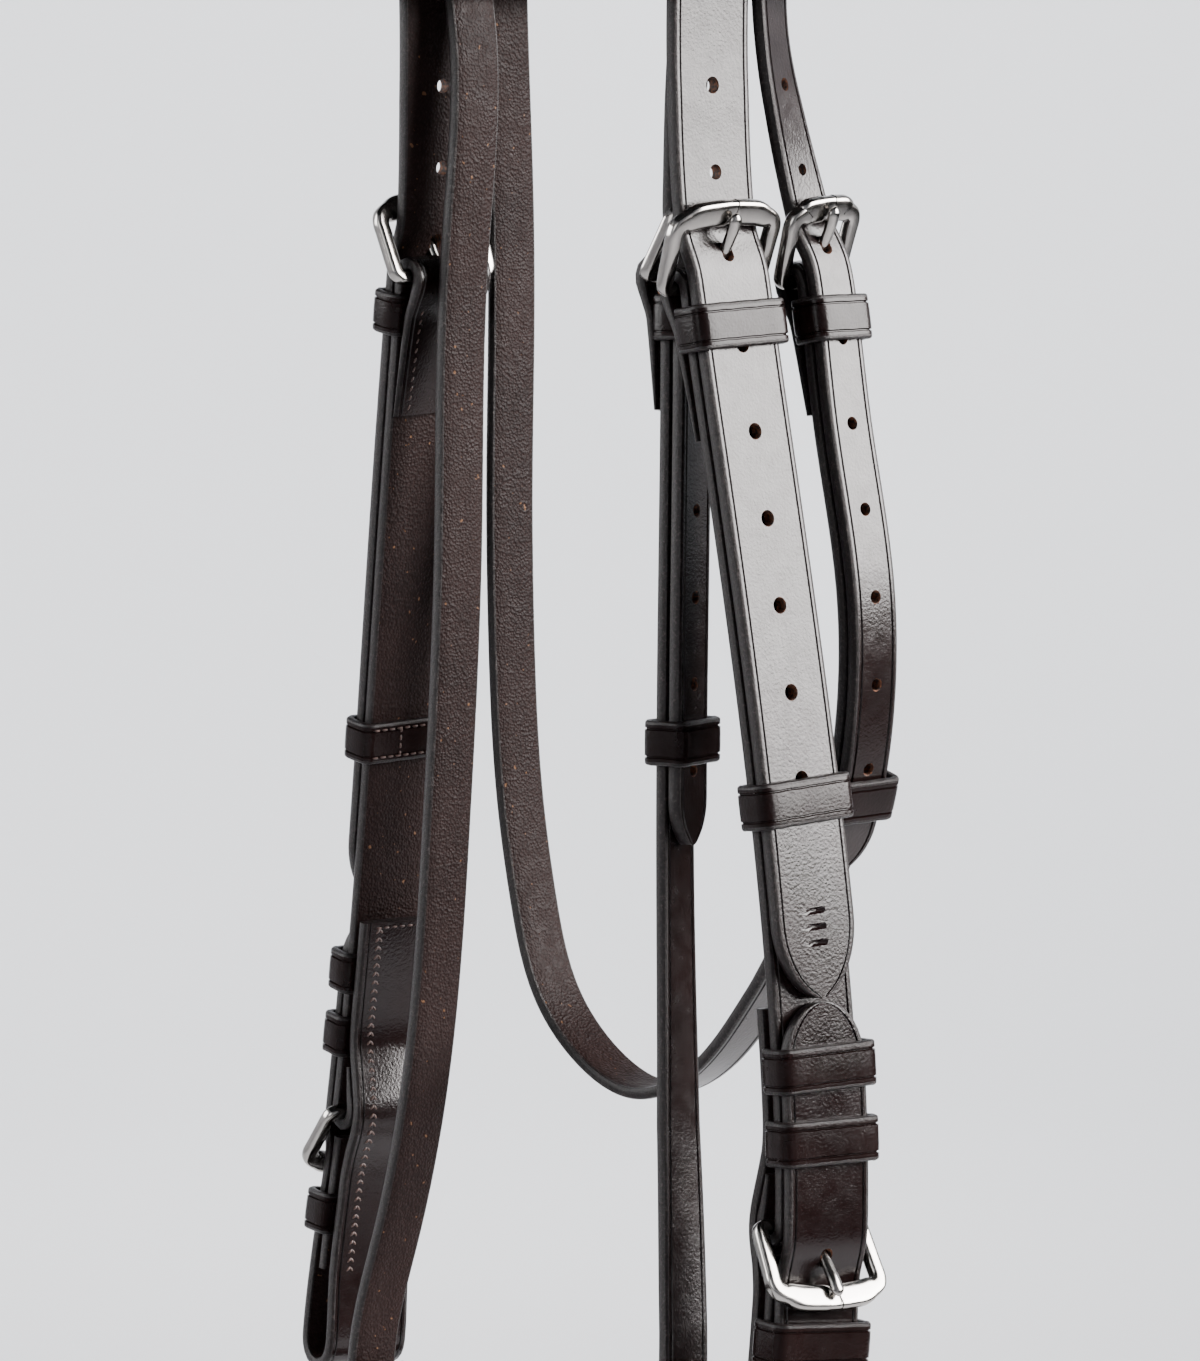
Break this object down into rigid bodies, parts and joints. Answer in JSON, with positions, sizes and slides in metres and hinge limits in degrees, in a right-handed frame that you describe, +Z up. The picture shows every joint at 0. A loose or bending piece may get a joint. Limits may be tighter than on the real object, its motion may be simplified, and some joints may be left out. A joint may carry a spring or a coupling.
{
  "type": "snaffle bridle",
  "caption": "Flat leather headstall of a riding bridle: headpiece, browband, cavesson noseband, throatlash and buckled cheekpieces with looped bit ends.",
  "frame": {"origin": "middle of the underside of the noseband sliphead, where the bridle rests on the poll", "axes": "+Z up, -Y towards the horse's nose, +X towards the horse's near (left) side"},
  "size_m": [0.1798, 0.2417, 0.4248],
  "materials": {
    "leather": "dark havana brown bridle leather, waxed grain outside and pebbled flesh inside",
    "steel": "polished stainless steel",
    "thread": "waxed brown stitching thread"
  },
  "bodies": {
    "root": {"browband": "leather", "headpiece": "leather", "near_bit_backing": "leather", "near_bit_keeper_lower": "leather", "near_bit_keeper_middle": "leather", "near_bit_keeper_upper": "leather", "near_bit_strap": "leather", "near_cheek_keeper": "leather", "near_cheekpiece": "leather", "near_top_keeper": "leather", "noseband_cheek_keeper": "leather", "noseband_chin_keeper": "leather", "noseband_chin_strap": "leather", "noseband_chin_tab": "leather", "noseband_near_cheek": "leather", "noseband_sliphead": "leather", "nosepiece": "leather", "off_bit_backing": "leather", "off_bit_keeper_lower": "leather", "off_bit_keeper_middle": "leather", "off_bit_keeper_upper": "leather", "off_bit_strap": "leather", "off_cheek_keeper": "leather", "off_cheekpiece": "leather", "off_top_keeper": "leather", "throatlash": "leather", "throatlash_keeper": "leather"},
    "near_bit_frame": {"near_bit_buckle_frame": "steel"},
    "near_bit_prong": {"near_bit_buckle_prong": "steel"},
    "near_top_frame": {"near_top_buckle_frame": "steel"},
    "near_top_prong": {"near_top_buckle_prong": "steel"},
    "noseband_cheek_frame": {"noseband_cheek_buckle_frame": "steel"},
    "noseband_cheek_prong": {"noseband_cheek_buckle_prong": "steel"},
    "noseband_chin_frame": {"noseband_chin_buckle_frame": "steel"},
    "noseband_chin_prong": {"noseband_chin_buckle_prong": "steel"},
    "off_bit_frame": {"off_bit_buckle_frame": "steel"},
    "off_bit_prong": {"off_bit_buckle_prong": "steel"},
    "off_top_frame": {"off_top_buckle_frame": "steel"},
    "off_top_prong": {"off_top_buckle_prong": "steel"},
    "throatlash_frame": {"throatlash_buckle_frame": "steel"},
    "throatlash_prong": {"throatlash_buckle_prong": "steel"},
    "noseband_cheek_runner": {"noseband_cheek_runner": "leather"},
    "throatlash_runner": {"throatlash_runner": "leather"},
    "noseband_chin_runner": {"noseband_chin_runner": "leather"}
  },
  "joints": [
    {"name": "near_bit_frame_hinge", "type": "hinge", "parent": "root", "child": "near_bit_frame", "pos_m": [0.07612, 0.00436, -0.31841], "axis": [-0.1055, -0.9912, 0.08], "range_deg": [0, 5]},
    {"name": "near_bit_prong_hinge", "type": "hinge", "parent": "near_bit_frame", "child": "near_bit_prong", "pos_m": [0.07612, 0.00436, -0.31841], "axis": [-0.1055, -0.9912, 0.08], "range_deg": [0, 5]},
    {"name": "near_top_frame_hinge", "type": "hinge", "parent": "root", "child": "near_top_frame", "pos_m": [0.04674, 0.00096, -0.11525], "axis": [-0.0006, 0.9995, 0.0326], "range_deg": [0, 5]},
    {"name": "near_top_prong_hinge", "type": "hinge", "parent": "near_top_frame", "child": "near_top_prong", "pos_m": [0.04674, 0.00096, -0.11525], "axis": [-0.0006, 0.9995, 0.0326], "range_deg": [0, 5]},
    {"name": "noseband_cheek_frame_hinge", "type": "hinge", "parent": "root", "child": "noseband_cheek_frame", "pos_m": [0.02939, 0.00364, -0.11308], "axis": [-0.2962, 0.9549, -0.0198], "range_deg": [0, 5]},
    {"name": "noseband_cheek_prong_hinge", "type": "hinge", "parent": "noseband_cheek_frame", "child": "noseband_cheek_prong", "pos_m": [0.02939, 0.00364, -0.11308], "axis": [-0.2962, 0.9549, -0.0198], "range_deg": [0, 5]},
    {"name": "noseband_chin_frame_hinge", "type": "hinge", "parent": "root", "child": "noseband_chin_frame", "pos_m": [0.05324, 0.04448, -0.39987], "axis": [-0.0002, -0.0675, -0.9977], "range_deg": [0, 5]},
    {"name": "noseband_chin_prong_hinge", "type": "hinge", "parent": "noseband_chin_frame", "child": "noseband_chin_prong", "pos_m": [0.05324, 0.04448, -0.39987], "axis": [-0.0002, -0.0675, -0.9977], "range_deg": [0, 5]},
    {"name": "off_bit_frame_hinge", "type": "hinge", "parent": "root", "child": "off_bit_frame", "pos_m": [-0.07612, 0.00334, -0.31832], "axis": [0.1054, 0.9898, -0.0961], "range_deg": [0, 5]},
    {"name": "off_bit_prong_hinge", "type": "hinge", "parent": "off_bit_frame", "child": "off_bit_prong", "pos_m": [-0.07612, 0.00334, -0.31832], "axis": [0.1054, 0.9898, -0.0961], "range_deg": [0, 5]},
    {"name": "off_top_frame_hinge", "type": "hinge", "parent": "root", "child": "off_top_frame", "pos_m": [-0.04674, 0.00098, -0.11525], "axis": [0.0022, -0.9995, -0.033], "range_deg": [0, 5]},
    {"name": "off_top_prong_hinge", "type": "hinge", "parent": "off_top_frame", "child": "off_top_prong", "pos_m": [-0.04674, 0.00098, -0.11525], "axis": [0.0022, -0.9995, -0.033], "range_deg": [0, 5]},
    {"name": "throatlash_frame_hinge", "type": "hinge", "parent": "root", "child": "throatlash_frame", "pos_m": [0.04919, 0.02772, -0.11435], "axis": [-0.0732, 0.9956, 0.0579], "range_deg": [0, 5]},
    {"name": "throatlash_prong_hinge", "type": "hinge", "parent": "throatlash_frame", "child": "throatlash_prong", "pos_m": [0.04919, 0.02772, -0.11435], "axis": [-0.0732, 0.9956, 0.0579], "range_deg": [0, 5]},
    {"name": "noseband_cheek_runner_slide", "type": "slide", "parent": "root", "child": "noseband_cheek_runner", "axis": [0.0168, -0.0216, -0.9996], "range_m": [-0.003, 0.003]},
    {"name": "throatlash_runner_slide", "type": "slide", "parent": "root", "child": "throatlash_runner", "axis": [-0.2695, 0.0022, -0.963], "range_m": [-0.003, 0.003]},
    {"name": "noseband_chin_runner_slide", "type": "slide", "parent": "root", "child": "noseband_chin_runner", "axis": [0.0041, 0.9959, -0.0904], "range_m": [-0.003, 0.003]}
  ]
}
